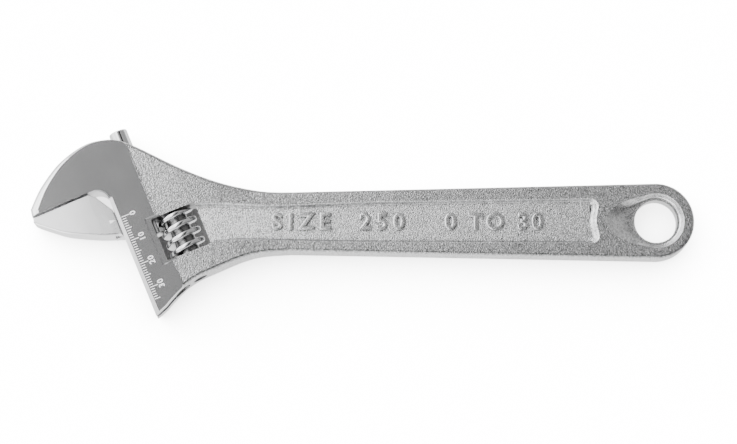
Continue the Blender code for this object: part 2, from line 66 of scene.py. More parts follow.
TAIL_RADIUS = 14.9 * MM
HANG_X = body_high.x - TAIL_RADIUS
HANG_HOLE_RADIUS = 8.4 * MM
HANDLE_HALF = 5.5 * MM          # half thickness over the rims
FLOOR_HALF = 3.5 * MM           # half thickness between the channels
WAIST_X = -28.0 * MM
FRONT_N = -21.3 * MM            # head's front face
JAW_LENGTH = 30.0 * MM
CLAMP_H = 27.75 * MM
HEAD_FOOT_H = -26.8 * MM
THROAT_RADIUS = 5.0 * MM
GROUND_EDGE_N = -7.2 * MM       # the ground faces end here
FORGED_STEP = 0.3 * MM          # forged skin lies this far under the ground face
STOCK = 0.5 * MM                # left on the blank for grinding and milling
ROD_N = -8.5 * MM
ROD_RADIUS = 3.7 * MM
SLIDE_GAP = 0.3 * MM
WINDOW_N = (-9.3 * MM, 9.1 * MM)
WINDOW_HALF_H = 8.85 * MM
WEB_HALF = 2.3 * MM
SLOT_TOP_H = 18.6 * MM
PIN_RADIUS = 2.0 * MM
PIN_SCREW_RADIUS = 2.6 * MM


def head_xy(n, h):
    """World x and y of a point in the head frame: n across the slide, h up it."""
    point = HEAD_FRAME @ Vector((n, h, 0.0))
    return point.x, point.y


def smooth(points, steps=10):
    """Points on a Catmull-Rom curve through the given points."""
    ends = [points[0]] + list(points) + [points[-1]]
    line = []
    for a, b, c, d in zip(ends, ends[1:], ends[2:], ends[3:]):
        for step in range(steps):
            t = step / steps
            line.append(tuple(
                0.5 * (2 * q + (r - p) * t + (2 * p - 5 * q + 4 * r - s) * t ** 2
                       + (3 * q - p - 3 * r + s) * t ** 3)
                for p, q, r, s in zip(a, b, c, d)))
    return line + [tuple(points[-1])]


def arc(centre, radius, first, last, steps):
    """Points on an arc between two angles in degrees."""
    angles = [radians(first + (last - first) * i / steps) for i in range(steps + 1)]
    return [(centre[0] + radius * cos(a), centre[1] + radius * sin(a)) for a in angles]


def in_mm(points):
    return [(x * MM, y * MM) for x, y in points]


def mesh_object(name, bm):
    mesh = bpy.data.meshes.new(name)
    bm.to_mesh(mesh)
    bm.free()
    piece = bpy.data.objects.new(name, mesh)
    bpy.context.scene.collection.objects.link(piece)
    return piece


def offset_outline(outline, width_at):
    """Anticlockwise points of an outline with the inward step of one width at each."""
    area = sum(a[0] * b[1] - b[0] * a[1] for a, b in zip(outline, outline[1:] + outline[:1]))
    points = [Vector(p) for p in (outline if area > 0 else outline[::-1])]
    ahead = points[1:] + points[:1]
    inward = [Vector((a.y - b.y, b.x - a.x)).normalized() for a, b in zip(points, ahead)]
    widths = [width_at((a + b) / 2) for a, b in zip(points, ahead)]
    insets = []
    for index in range(len(points)):
        before, after = inward[index - 1], inward[index]
        first, second = widths[index - 1], widths[index]
        turn = before.x * after.y - before.y * after.x
        if abs(turn) < 0.5:
            bisector = (before + after).normalized()
            insets.append(bisector * (first + second) / 2 / bisector.dot(after))
        else:
            insets.append(Vector((first * after.y - second * before.y,
                                  second * before.x - first * after.x)) / turn)
    return points, insets


def loft(name, rings):
    """A closed solid through rings of equal count, with flat ends."""
    bm = bmesh.new()
    rows = [[bm.verts.new(co) for co in ring] for ring in rings]
    for upper, lower in zip(rows, rows[1:]):
        for index in range(len(upper)):
            bm.faces.new((upper[index - 1], lower[index - 1], lower[index], upper[index]))
    bm.faces.new(rows[0])
    bm.faces.new(rows[-1][::-1])
    bmesh.ops.recalc_face_normals(bm, faces=bm.faces)
    return mesh_object(name, bm)


def flared(name, outline, width_at, steps):
    """A solid whose outline is moved in by share * width at each (share, z) step."""
    points, insets = offset_outline(outline, width_at)
    return loft(name, [[(*(p + share * i), z) for p, i in zip(points, insets)] for share, z in steps])


def prism(name, outline, low, high, edge=0.0):
    """A through cut of an outline that breaks its edges at the head's two faces."""
    steps = [(0.0, low), (0.0, high)]
    if edge:
        top, foot = body_high.z, body_low.z
        steps = [(-2.0, foot - edge), (-1.0, foot), (0.0, foot + edge), (0.0, top - edge),
                 (-1.0, top), (-2.0, top + edge)]
    return flared(name, outline, lambda middle: edge, steps)


def bar(name, radius, n, foot, top, segments=96):
    """A cylinder along the slide."""
    bm = bmesh.new()
    bmesh.ops.create_cone(bm, cap_ends=True, segments=segments, radius1=radius, radius2=radius,
                          depth=top - foot)
    bmesh.ops.rotate(bm, verts=bm.verts, matrix=Matrix.Rotation(-pi / 2, 3, "X"))
    bmesh.ops.translate(bm, verts=bm.verts, vec=(n, (foot + top) / 2, 0.0))
    bmesh.ops.transform(bm, matrix=HEAD_FRAME, verts=bm.verts)
    return mesh_object(name, bm)


def head_block(name, low, high):
    """A box between two corners of the head frame."""
    bm = bmesh.new()
    bmesh.ops.create_cube(bm, size=1.0)
    for vert in bm.verts:
        vert.co = [a if c < 0 else b for a, b, c in zip(low, high, vert.co)]
    bmesh.ops.transform(bm, matrix=HEAD_FRAME, verts=bm.verts)
    return mesh_object(name, bm)


def cut(target, tool, operation="DIFFERENCE"):
    """Applies a Boolean at once; new faces keep the tool's own material."""
    boolean = target.modifiers.new("cut", "BOOLEAN")
    boolean.operation = operation
    boolean.object = tool
    boolean.solver = "EXACT"
    boolean.material_mode = "TRANSFER"
    bake_modifiers(target)
    bpy.data.objects.remove(tool, do_unlink=True)


def bake_modifiers(piece):
    bpy.context.view_layer.update()
    graph = bpy.context.evaluated_depsgraph_get()
    mesh = bpy.data.meshes.new_from_object(piece.evaluated_get(graph))
    piece.modifiers.clear()
    old = piece.data
    piece.data = mesh
    bpy.data.meshes.remove(old)


def taper(piece, stations, origin, direction):
    """Scales the thickness about MID_Z, by a law that is straight between stations."""
    bm = bmesh.new()
    bm.from_mesh(piece.data)
    for distance, _ in stations[1:-1]:
        everything = list(bm.verts) + list(bm.edges) + list(bm.faces)
        bmesh.ops.bisect_plane(bm, geom=everything, dist=1e-7, plane_no=direction,
                               plane_co=origin + direction * distance)
    top = max(v.co.z for v in bm.verts) - MID_Z
    for vert in bm.verts:
        along = (vert.co - origin).dot(direction)
        for (a, thick_a), (b, thick_b) in zip(stations, stations[1:]):
            if along <= b or b == stations[-1][0]:
                half = thick_a + (thick_b - thick_a) * (along - a) / (b - a)
                break
        vert.co.z = MID_Z + (vert.co.z - MID_Z) / top * half
    bm.to_mesh(piece.data)
    bm.free()


def finish_shading(piece, angle=38):
    """Smooth faces, with sharp machined edges and the large flat faces kept flat."""
    piece.data.shade_smooth()
    piece.data.set_sharp_from_angle(angle=radians(angle))
    weighted = piece.modifiers.new("weighted", "WEIGHTED_NORMAL")
    weighted.keep_sharp = True
    weighted.weight = 100
    bake_modifiers(piece)


def socket_group(name, inputs, outputs):
    """An empty shader node group with its named sockets."""
    group = bpy.data.node_groups.new(name, "ShaderNodeTree")
    for socket, kind, value in inputs:
        made = group.interface.new_socket(socket, in_out="INPUT", socket_type=kind)
        if value is not None:
            made.default_value = value
    for socket, kind in outputs:
        group.interface.new_socket(socket, in_out="OUTPUT", socket_type=kind)
    return group, group.nodes.new("NodeGroupInput"), group.nodes.new("NodeGroupOutput")


def chrome_skin_group():
    """Plated steel: cloudy tone, fine grain, painted glints and painted shade in the corners, on object
    coordinates.

    Tone and roughness vary around the given values; the grain's bump feeds the normal.
    """
    group, given, result = socket_group(
        "plated_skin",
        [("Colour", "NodeSocketColor", (0.6, 0.6, 0.6, 1.0)), ("Roughness", "NodeSocketFloat", 0.3),
         ("Grain Size", "NodeSocketFloat", 0.5), ("Grain Depth", "NodeSocketFloat", 0.2),
         ("Sparkle", "NodeSocketFloat", 0.1), ("Painted Corner Shade", "NodeSocketFloat", 0.2)],
        [("Colour", "NodeSocketColor"), ("Roughness", "NodeSocketFloat"), ("Normal", "NodeSocketVector")])
    nodes, links = group.nodes, group.links
    where = nodes.new("ShaderNodeTexCoord")
    frequency = nodes.new("ShaderNodeMath")
    frequency.operation = "DIVIDE"
    frequency.inputs[0].default_value = 1000.0
    links.new(given.outputs["Grain Size"], frequency.inputs[1])
    grain = nodes.new("ShaderNodeTexNoise")
    grain.inputs["Detail"].default_value = 3.0
    grain.inputs["Roughness"].default_value = 0.6
    links.new(where.outputs["Object"], grain.inputs["Vector"])
    links.new(frequency.outputs[0], grain.inputs["Scale"])
    cloud = nodes.new("ShaderNodeTexNoise")
    cloud.inputs["Scale"].default_value = 60.0
    cloud.inputs["Detail"].default_value = 4.0
    links.new(where.outputs["Object"], cloud.inputs["Vector"])
    pits = nodes.new("ShaderNodeTexVoronoi")
    links.new(where.outputs["Object"], pits.inputs["Vector"])
    links.new(frequency.outputs[0], pits.inputs["Scale"])
    bump = nodes.new("ShaderNodeBump")
    bump.inputs["Distance"].default_value = 0.0002
    links.new(given.outputs["Grain Depth"], bump.inputs["Strength"])
    links.new(grain.outputs["Fac"], bump.inputs["Height"])
    links.new(bump.outputs["Normal"], result.inputs["Normal"])
    # Painted shade: the colour is darkened in corners and hollows that lie within 1.5 mm of other surfaces.
    corner = nodes.new("ShaderNodeAmbientOcclusion")
    corner.inputs["Distance"].default_value = 0.0015
    corner.samples = 8
    hidden = nodes.new("ShaderNodeMath")
    hidden.operation = "SUBTRACT"
    hidden.inputs[0].default_value = 1.0
    links.new(corner.outputs["AO"], hidden.inputs[1])
    painted_shade = nodes.new("ShaderNodeMath")
    painted_shade.operation = "MULTIPLY"
    links.new(hidden.outputs[0], painted_shade.inputs[0])
    links.new(given.outputs["Painted Corner Shade"], painted_shade.inputs[1])
    tone = nodes.new("ShaderNodeMapRange")
    tone.inputs["From Min"].default_value = 0.3
    tone.inputs["From Max"].default_value = 0.7
    tone.inputs["To Min"].default_value = 0.93
    tone.inputs["To Max"].default_value = 1.05
    links.new(cloud.outputs["Fac"], tone.inputs["Value"])
    # Sparkle: painted glints, random brighter and darker cells of grain size added to the colour.
    centred = nodes.new("ShaderNodeMath")
    centred.operation = "SUBTRACT"
    centred.inputs[1].default_value = 0.5
    links.new(pits.outputs["Color"], centred.inputs[0])
    glint = nodes.new("ShaderNodeMath")
    glint.operation = "MULTIPLY_ADD"
    links.new(centred.outputs[0], glint.inputs[0])
    links.new(given.outputs["Sparkle"], glint.inputs[1])
    links.new(tone.outputs["Result"], glint.inputs[2])
    shade = nodes.new("ShaderNodeMath")
    shade.operation = "SUBTRACT"
    shade.use_clamp = False
    links.new(glint.outputs[0], shade.inputs[0])
    links.new(painted_shade.outputs[0], shade.inputs[1])
    colour = nodes.new("ShaderNodeVectorMath")
    colour.operation = "SCALE"
    links.new(given.outputs["Colour"], colour.inputs[0])
    links.new(shade.outputs[0], colour.inputs["Scale"])
    links.new(colour.outputs["Vector"], result.inputs["Colour"])
    rough = nodes.new("ShaderNodeMath")
    rough.operation = "MULTIPLY_ADD"
    rough.inputs[1].default_value = 0.12
    links.new(grain.outputs["Fac"], rough.inputs[0])
    links.new(given.outputs["Roughness"], rough.inputs[2])
    even = nodes.new("ShaderNodeMath")
    even.operation = "SUBTRACT"
    even.inputs[1].default_value = 0.06
    links.new(rough.outputs[0], even.inputs[0])
    links.new(even.outputs[0], result.inputs["Roughness"])
    return group


plated_skin = chrome_skin_group()


def plated(name, colour, roughness, grain_size, grain_depth, sparkle=0.0, painted_shade=0.25):
    """A plated finish with its own values of the shared skin."""
    finish = bpy.data.materials.new(name)
    finish.use_nodes = True
    nodes, links = finish.node_tree.nodes, finish.node_tree.links
    shader = nodes["Principled BSDF"]
    shader.inputs["Metallic"].default_value = 1.0
    skin = nodes.new("ShaderNodeGroup")
    skin.node_tree = plated_skin
    values = {"Colour": (colour, colour * 1.003, colour * 1.01, 1.0), "Roughness": roughness,
              "Grain Size": grain_size, "Grain Depth": grain_depth, "Sparkle": sparkle,
              "Painted Corner Shade": painted_shade}
    for socket, value in values.items():
        skin.inputs[socket].default_value = value
    links.new(skin.outputs["Colour"], shader.inputs["Base Color"])
    links.new(skin.outputs["Roughness"], shader.inputs["Roughness"])
    links.new(skin.outputs["Normal"], shader.inputs["Normal"])
    return finish


blasted = plated("blasted_chrome", 0.58, 0.22, 0.5, 0.65, sparkle=0.95)
hammered = plated("hammered_chrome", 0.73, 0.24, 0.5, 0.8, sparkle=0.95, painted_shade=0.7)
ground = plated("ground_chrome", 0.47, 0.20, 0.25, 0.03)
milled = plated("milled_chrome", 0.85, 0.20, 0.3, 0.04)
dished = plated("dished_chrome", 0.88, 0.22, 0.5, 0.5, sparkle=0.7)
hollow = plated("shaded_bore", 0.35, 0.45, 0.5, 0.2)


def blank_outline():
    """Forging's outline, with milling stock left on the jaw opening's side."""
    front = FRONT_N - 6 * STOCK
    clamp = CLAMP_H - 6 * STOCK
    reach = FRONT_N - JAW_LENGTH
    opening = [head_xy(reach - 1.0 * MM, clamp), head_xy(front - THROAT_RADIUS, clamp),
               head_xy(front, clamp - THROAT_RADIUS), head_xy(front, HEAD_FOOT_H - 1.1 * MM)]
    sweep = in_mm([(-76.4, -33.6), (-73.9, -30.6), (-69.8, -26.4), (-64.1, -22.4),
                   (-57.0, -19.1), (-47.3, -15.0), (-39.3, -12.9)])
    lower = smooth(sweep + [(WAIST_X, -12.1 * MM)])
    tail = arc((HANG_X, 0.0), TAIL_RADIUS, -91, 91, 60)
    shoulder = in_mm([(-40.0, 11.8), (-55.9, 15.1), (-71.7, 21.0), (-87.6, 28.7), (-93.9, 31.2),
                      (-100.2, 32.1), (-109.2, 30.1), (-118.7, 23.4), (-126.0, 13.6), (-130.1, 4.4)])
    return opening + lower + tail + smooth([(WAIST_X, 11.4 * MM)] + shoulder)


STOCK_RIM = 0.3 * MM            # where milling takes the edge away
HANDLE_RIM = 1.4 * MM
FOOT_RIM = 0.5 * MM
CROWN_RIM = 1.2 * MM            # on the fixed jaw's back, growing towards its tip
TIP_RIM_GROWTH = 5.5 * MM
RIM_DROP_LIMIT = 3.2 * MM


def rim_width(middle):
    """Width of the forging's rounded rims, widest along the fixed jaw's back."""
    n, h, _ = HEAD_INVERSE @ middle.to_3d()
    if n < FRONT_N + 4 * STOCK and h < CLAMP_H:
        return STOCK_RIM
    if n < GROUND_EDGE_N:
        along = min(1.0, max(0.0, (GROUND_EDGE_N - n) / (GROUND_EDGE_N - FRONT_N + JAW_LENGTH)))
        foot = FOOT_RIM if h < 0 else CROWN_RIM
        return foot + (TIP_RIM_GROWTH * along ** 1.6 if h > 0 else 0.0)
    return HANDLE_RIM


rounding = [(1 - sin(radians(a)), 1 - cos(radians(a))) for a in range(0, 91, 15)]
half = HEAD_THICKNESS / 2


def rounded_rings(points, insets, drops, half_height):
    """Rings of both rounded rims, from the upper face's edge to the lower face's."""
    return [[(*(p + across * i), MID_Z + side * (half_height - down * d))
             for p, i, d in zip(points, insets, drops)]
            for side in (1, -1) for across, down in rounding[::side]]


points, insets = offset_outline(blank_outline(), rim_width)
drops = [min(i.length, RIM_DROP_LIMIT) for i in insets]
forging = loft("forged_body", rounded_rings(points, insets, drops, half))
taper(forging,
      [(-200 * MM, half + STOCK), (GROUND_EDGE_N - 0.9 * MM, half + STOCK),
       (GROUND_EDGE_N + 0.5 * MM, half - FORGED_STEP), (6 * MM, half - 1.4 * FORGED_STEP),
       (18 * MM, HANDLE_HALF + 1.25 * MM), (30 * MM, HANDLE_HALF + 0.7 * MM),
       (45 * MM, HANDLE_HALF + 0.35 * MM), (70 * MM, HANDLE_HALF + 0.15 * MM),
       (220 * MM, HANDLE_HALF - 0.2 * MM)],
      worm_centre, slide_across)
forging.data.materials.append(blasted)

inside = 0.5 * MM
channel_end = HANG_X - 23.0 * MM
channel_top = [head_xy(WINDOW_N[1] - inside, WINDOW_HALF_H - inside)]
channel_top += in_mm([(-57.0, 7.0), (-46.6, 6.5), (-35.1, 6.2), (-23.0, 6.6), (5.8, 7.7)])
channel_foot = in_mm([(5.8, -8.6), (-15.0, -8.4), (-30.8, -8.0), (-46.5, -7.7), (-54.4, -8.2)])
channel_foot += [head_xy(WINDOW_N[1] - inside, inside - WINDOW_HALF_H)]
end_wall = [(channel_end - 2.0 * MM, 9.0 * MM), (channel_end + 0.5 * MM, 6.6 * MM),
            (channel_end - 0.4 * MM, 0.0), (channel_end + 0.7 * MM, -6.6 * MM),
            (channel_end - 1.3 * MM, -8.9 * MM)]
channel = smooth(channel_top) + smooth(end_wall) + smooth(channel_foot)


def wall_slope(middle):
    """Run of the channel's wall, from its rim to its floor."""
    n = (HEAD_INVERSE @ middle.to_3d()).x
    if middle.x > channel_end - 1.6 * MM:
        return 2.6 * MM
    return 0.15 * MM if n < WINDOW_N[1] else 1.5 * MM


def face_recess(name, outline, width_at, floor_half, finish):
    """Sinks the same forged recess, with a rounded rim and floor, into both faces."""
    depth = HANDLE_HALF - floor_half
    wall = [(1.0, 0.0), (0.80, 0.03), (0.62, 0.12), (0.50, 0.28), (0.36, 0.62), (0.26, 0.82),
            (0.12, 0.95), (-0.12, 1.03), (-0.14, 3.0)]
    for side in (1, -1):
        steps = [(share, MID_Z + side * (floor_half + rise * depth)) for share, rise in wall]
        tool = flared(name, outline, width_at, steps)
        tool.data.materials.append(finish)
        cut(forging, tool)


face_recess("channel_die", channel, wall_slope, FLOOR_HALF, hammered)

DISH_RADIUS = 10.9 * MM
DISH_TIP = 20.1 * MM
DISH_FLOOR_RADIUS = 9.2 * MM
DISH_DEPTH = 2.1 * MM
DISH_FLOOR_HALF = FLOOR_HALF - 0.3 * MM
round_end = arc((HANG_X, 0.0), DISH_RADIUS, -112, 112, 72)
dish_sides = [(HANG_X - 0.72 * DISH_TIP, 0.62 * DISH_RADIUS), (HANG_X - DISH_TIP, 0.0),
              (HANG_X - 0.72 * DISH_TIP, -0.62 * DISH_RADIUS)]
dish = [Vector(p) for p in round_end[:-1] + smooth([round_end[-1]] + dish_sides + [round_end[0]], 8)[:-1]]
for side in (1, -1):
    hang = Vector((HANG_X, 0.0))
    rings = []
    for step in range(-1, 9):
        share = max(0.0, step / 8)
        rise = (1 - share) ** 2.2 * DISH_DEPTH + (3.0 * MM if step < 0 else 0.0)
        ring = [p.lerp(hang + (p - hang).normalized() * DISH_FLOOR_RADIUS, share ** 0.8) for p in dish]
        rings.append([(*p, MID_Z + side * (DISH_FLOOR_HALF + rise)) for p in ring])
    scoop = loft("dish_die", rings)
    scoop.data.materials.append(dished)
    cut(forging, scoop)

hanging = prism("hanging_drill", arc((HANG_X, 0.0), HANG_HOLE_RADIUS, 0, 357.5, 143),
                body_low.z - 1 * MM, body_high.z + 1 * MM)
hanging.data.materials.append(ground)
cut(forging, hanging)

for side in (1, -1):
    low, high = sorted((side * half, side * (half + 4 * MM)))
    grinding = head_block("face_grinding", (-90 * MM, -90 * MM, low), (GROUND_EDGE_N + 4 * MM, 90 * MM, high))
    grinding.data.materials.append(ground)
    cut(forging, grinding)

throat = arc((FRONT_N - THROAT_RADIUS, CLAMP_H - THROAT_RADIUS), THROAT_RADIUS, 90, 0, 24)
opening = [head_xy(FRONT_N - 2 * JAW_LENGTH, CLAMP_H)] + [head_xy(n, h) for n, h in throat]
opening += [head_xy(FRONT_N, -60 * MM), head_xy(FRONT_N - 2 * JAW_LENGTH, -60 * MM)]
FRONT_CHAMFER = 1.9 * MM
FRONT_DROP = 1.3 * MM


def opening_chamfer(middle):
    """Outward flare of the milled opening at the head's two faces."""
    n, h, _ = HEAD_INVERSE @ middle.to_3d()
    if h > CLAMP_H - 0.1 * MM:
        return 0.25 * MM
    down = min(1.0, max(0.0, (CLAMP_H - h) / (14 * MM)))
    return (0.5 * MM + (FRONT_CHAMFER - 0.5 * MM) * down) if n > FRONT_N - THROAT_RADIUS else 0.25 * MM


def chamfer_steps(drop):
    """Straight through the middle, flaring to one width at each face and beyond."""
    top, foot = body_high.z, body_low.z
    return [(-2.0, foot - drop), (-1.0, foot), (0.0, foot + drop), (0.0, top - drop), (-1.0, top),
            (-2.0, top + drop)]


milling = flared("opening_milling", opening, opening_chamfer, chamfer_steps(FRONT_DROP))
milling.data.materials.append(milled)
cut(forging, milling)

POCKET_CORNER = 1.0 * MM
POCKET_EDGE = 0.45 * MM
pocket_n = (WINDOW_N[0] - 2.4 * MM, GROUND_EDGE_N + 2 * MM)
pocket_h = WINDOW_HALF_H + 1.05 * MM
pocket = [(pocket_n[1], -pocket_h)]
pocket += arc((pocket_n[0] + POCKET_CORNER, POCKET_CORNER - pocket_h), POCKET_CORNER, 270, 180, 6)
pocket += arc((pocket_n[0] + POCKET_CORNER, pocket_h - POCKET_CORNER), POCKET_CORNER, 180, 90, 6)
pocket += [(pocket_n[1], pocket_h)]
pocket = [head_xy(n, h) for n, h in pocket]
for side in (1, -1):
    floor = MID_Z + side * (half - 1.5 * FORGED_STEP)
    relief = flared("pocket_die", pocket, lambda middle: POCKET_EDGE,
                    [(1.0, floor), (0.0, MID_Z + side * half), (-3.0, MID_Z + side * (half + 2 * MM))])
    relief.data.materials.append(ground)
    cut(forging, relief)

WINDOW_CORNER = 0.9 * MM
WINDOW_EDGE = 0.25 * MM
window_left, window_right = WINDOW_N[0] + WINDOW_CORNER, WINDOW_N[1] - WINDOW_CORNER
window_up = WINDOW_HALF_H - WINDOW_CORNER
window = []
for n, h, first in ((window_right, window_up, 0), (window_left, window_up, 90),
                    (window_left, -window_up, 180), (window_right, -window_up, 270)):
    window += [head_xy(*p) for p in arc((n, h), WINDOW_CORNER, first, first + 90, 6)]
window_cut = prism("window_milling", window, 0, 0, edge=WINDOW_EDGE)
window_cut.data.materials.append(hollow)
cut(forging, window_cut)

BEYOND = 60 * MM                # runs a tool out past the head
PIN_HOLE_DEPTH = 5.8 * MM       # blind, above the window
web_slot = WEB_HALF + SLIDE_GAP
for drill in (bar("slide_reamer", ROD_RADIUS + SLIDE_GAP, ROD_N, -BEYOND, 80 * MM),
              head_block("slot_saw", (-BEYOND, -BEYOND, -web_slot), (ROD_N, SLOT_TOP_H, web_slot)),
              bar("pin_drill", PIN_RADIUS + SLIDE_GAP, 0.0, 0.0, WINDOW_HALF_H + PIN_HOLE_DEPTH, 48),
              bar("pin_tap", PIN_SCREW_RADIUS + SLIDE_GAP, 0.0, -BEYOND, 0.0, 48)):
    drill.data.materials.append(hollow)
    cut(forging, drill)

ground_slot = forging.data.materials.find(ground.name)
milled_slot = forging.data.materials.find(milled.name)
blasted_slot = forging.data.materials.find(blasted.name)
for face in forging.data.polygons:
    n = (HEAD_INVERSE @ face.center).x
    if face.material_index == blasted_slot and n < GROUND_EDGE_N - 0.5 * MM:
        face.material_index = ground_slot if abs(face.normal.z) > 0.995 else milled_slot
finish_shading(forging)
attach(forging, "body")
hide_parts("body")

# ---------------------------------------------------------------------------------------
# Movable jaw: one forging with its web, its round slide rod and the rack that the worm
# drives. The jaw is ground and polished, the rod turned, and the rack milled across it.
# ---------------------------------------------------------------------------------------
JAW_ROOT_N = FRONT_N - SLIDE_GAP
JAW_FACE_H = 27.3 * MM
JAW_FOOT_H = 7.4 * MM
JAW_HALF = 6.5 * MM
JAW_TIP_HALF = 5.0 * MM
ROD_TOP_H = 47.6 * MM
ROD_END_ROUND = 0.7 * MM
ROD_FOOT_H = 3.0 * MM
WEB_TOP_H = 17.9 * MM
PITCH = 4.4 * MM
WORM_RADIUS = 7.5 * MM
RACK_DEPTH = 2.7 * MM
CREST_AT_RACK_H = 1.7 * MM
CREST_WIDTH = 1.9 * MM
THREAD_SLOPE = 1.0 / 3.2        # widening of the thread per height

polished_jaw = plated("polished_jaw", 0.92, 0.26, 0.3, 0.04)
bright_rod = plated("bright_rod", 0.80, 0.16, 0.4, 0.04)
rack_steel = plated("rack_steel", 0.55, 0.25, 0.4, 0.08)

tip_n = JAW_ROOT_N - JAW_LENGTH
belly = [(0.0, 0.0), (8.3, 3.0), (19.2, 8.5), (25.0, 12.9), (30.0, 17.3), (30.3, 18.7)]
jaw_line = smooth([(JAW_ROOT_N - n * MM, JAW_FOOT_H + h * MM) for n, h in belly])
jaw_line += [(tip_n, JAW_FACE_H), (JAW_ROOT_N - 6.7 * MM, JAW_FACE_H),
             (JAW_ROOT_N - 4.3 * MM, JAW_FACE_H - 2.0 * MM), (JAW_ROOT_N, WEB_TOP_H + 0.2 * MM)]


JAW_EDGE = 0.3 * MM
BELLY_EDGE = 1.0 * MM


def jaw_rim(middle):
    """Broken edges on the clamping face and the root, a rounder belly."""
    n, h = middle
    if h > JAW_FACE_H - 2.1 * MM or n > JAW_ROOT_N - 0.1 * MM or h - WEB_TOP_H > (JAW_ROOT_N - n) * 1.2:
        return JAW_EDGE
    return min(BELLY_EDGE, JAW_EDGE + 0.5 * (JAW_ROOT_N - n), JAW_EDGE + 0.5 * (JAW_FACE_H - h))


points, insets = offset_outline(jaw_line, jaw_rim)
drops = [i.length for i in insets]
jaw = loft("movable_jaw_forging", rounded_rings(points, insets, drops, JAW_HALF))
taper(jaw, [(-JAW_ROOT_N, JAW_HALF), (3 * MM - JAW_ROOT_N, JAW_HALF - 0.03 * MM),
            (7 * MM - JAW_ROOT_N, JAW_HALF - 0.13 * MM), (12 * MM - JAW_ROOT_N, JAW_HALF - 0.32 * MM),
            (20 * MM - JAW_ROOT_N, JAW_HALF - 0.78 * MM), (1 * MM - tip_n, JAW_TIP_HALF)],
      Vector((0.0, 0.0, 0.0)), Vector((-1.0, 0.0, 0.0)))
jaw.data.transform(HEAD_FRAME @ Matrix.Translation((0.0, 0.0, -MID_Z)))
jaw.data.materials.append(polished_jaw)
web = head_block("web", (JAW_ROOT_N - 3 * MM, JAW_FOOT_H + 0.1 * MM, -WEB_HALF), (ROD_N, WEB_TOP_H, WEB_HALF))
slide = bar("slide_rod", ROD_RADIUS, ROD_N, ROD_FOOT_H, ROD_TOP_H)
bm = bmesh.new()
bm.from_mesh(slide.data)
ends = [e for e in bm.edges if len({round((HEAD_INVERSE @ v.co).y, 6) for v in e.verts}) == 1]
bmesh.ops.bevel(bm, geom=ends, offset=ROD_END_ROUND, segments=4, profile=0.5, affect="EDGES")
bm.to_mesh(slide.data)
bm.free()
web.data.materials.append(polished_jaw)
slide.data.materials.append(bright_rod)
cut(jaw, web, "UNION")
cut(jaw, slide, "UNION")

floor_n = -WORM_RADIUS - SLIDE_GAP
mouth_n = floor_n + RACK_DEPTH + 2 * SLIDE_GAP
floor_half = CREST_WIDTH / 2 + SLIDE_GAP
mouth_half = floor_half + THREAD_SLOPE / 2 * (mouth_n - floor_n)
lead = PITCH / (tau * (WORM_RADIUS - RACK_DEPTH / 2))
first_groove = ceil((ROD_FOOT_H - CREST_AT_RACK_H - mouth_half) / PITCH)
last_groove = ceil((30 * MM + WINDOW_HALF_H - CREST_AT_RACK_H) / PITCH)
for index in range(first_groove, last_groove):
    middle = CREST_AT_RACK_H + index * PITCH
    rings = [[(n, middle + h + z * lead, z) for n, h in
              ((floor_n, floor_half), (mouth_n, mouth_half), (mouth_n, -mouth_half), (floor_n, -floor_half))]
             for z in (-6 * MM, 6 * MM)]
    groove = loft("rack_groove", rings)
    groove.data.transform(HEAD_FRAME)
    groove.data.materials.append(rack_steel)
    cut(jaw, groove)
finish_shading(jaw)
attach(jaw, "movable_jaw")
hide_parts("movable_jaw")

# ---------------------------------------------------------------------------------------
# Worm: a turned and polished steel screw with one right-hand thread, bored for its pin
# and counterbored at its foot for the spring. It is dropped into the window last.
# ---------------------------------------------------------------------------------------
WORM_LENGTH = 16.6 * MM
ROOT_RADIUS = 4.3 * MM
CREST_ROUND = 0.75 * MM
SPRING_WIRE = 0.3 * MM
SPRING_LENGTH = 5.4 * MM
TURN_STEPS = 96

worm_steel = plated("worm_chrome", 0.85, 0.13, 0.6, 0.05, painted_shade=0.8)
# The thread's root is given a dark colour: painted shade in the hollow between the turns, with some grime
# there.
shaded_worm_root = plated("shaded_worm_root", 0.24, 0.28, 0.5, 0.1)
worm_ends = plated("worm_end_faces", 0.6, 0.3, 0.4, 0.1)

crest_half = CREST_WIDTH / 2 - CREST_ROUND * 0.9
inner = ROOT_RADIUS - 0.3 * MM
base_half = CREST_WIDTH / 2 + THREAD_SLOPE / 2 * (WORM_RADIUS - inner)
crest = [(WORM_RADIUS - CREST_ROUND * (1 - sin(radians(a))), crest_half + CREST_ROUND * cos(radians(a)))
         for a in range(0, 91, 18)]
side_profile = [(inner, base_half)] + crest
profile = [(r, -z) for r, z in side_profile] + [(r, z) for r, z in side_profile[::-1]]
turns = ceil(WORM_LENGTH / PITCH / 2) + 1
start = CREST_AT_RACK_H + PITCH / 4 - turns * PITCH
bm = bmesh.new()
ring = [bm.verts.new((r, 0.0, start + z)) for r, z in profile]
for a, b in zip(ring, ring[1:] + ring[:1]):
    bm.edges.new((a, b))
thread = mesh_object("worm_thread", bm)
screw = thread.modifiers.new("turns", "SCREW")
screw.axis = "Z"
screw.angle = tau
screw.screw_offset = PITCH
screw.iterations = 2 * turns
screw.steps = TURN_STEPS
screw.render_steps = TURN_STEPS
screw.merge_threshold = 1e-6
bake_modifiers(thread)
bm = bmesh.new()
bm.from_mesh(thread.data)
bmesh.ops.holes_fill(bm, edges=[e for e in bm.edges if e.is_boundary])
bmesh.ops.recalc_face_normals(bm, faces=bm.faces)
bm.to_mesh(thread.data)
bm.free()


def turned(name, outline, segments=96):
    """A closed turned solid about z from (radius, z) points, both ends on the axis."""
    bm = bmesh.new()
    line = [bm.verts.new((r, 0.0, z)) for r, z in outline]
    for a, b in zip(line, line[1:]):
        bm.edges.new((a, b))
    bmesh.ops.spin(bm, geom=list(bm.verts) + list(bm.edges), axis=(0, 0, 1), cent=(0, 0, 0),
                   angle=tau, steps=segments, use_merge=True)
    bmesh.ops.remove_doubles(bm, verts=bm.verts, dist=1e-7)
    bmesh.ops.recalc_face_normals(bm, faces=bm.faces)
    return mesh_object(name, bm)


